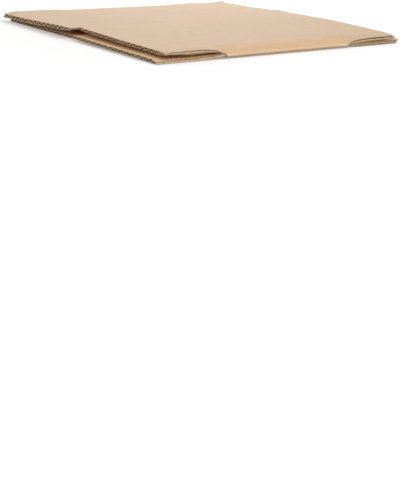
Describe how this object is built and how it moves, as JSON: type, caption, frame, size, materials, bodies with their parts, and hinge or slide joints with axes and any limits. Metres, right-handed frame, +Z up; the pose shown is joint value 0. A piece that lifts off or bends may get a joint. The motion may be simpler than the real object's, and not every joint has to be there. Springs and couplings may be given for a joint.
{
  "type": "flattened cardboard box",
  "caption": "Small cube-shaped shipping box of single-wall corrugated board, glued and folded flat, with a row of open flaps at each end.",
  "frame": {"origin": "centre of the face that the folded box lies on, at the bottom of its bounding box", "axes": "+X along the flutes, from flap ends to flap ends; +Y across the two walls, from fold to fold; +Z up, through the layers of board"},
  "size_m": [0.208, 0.207, 0.0087],
  "materials": {
    "kraft_board": "uncoated brown paper board, matt"
  },
  "bodies": {
    "root": {"flattened_box": "kraft_board"}
  },
  "joints": []
}
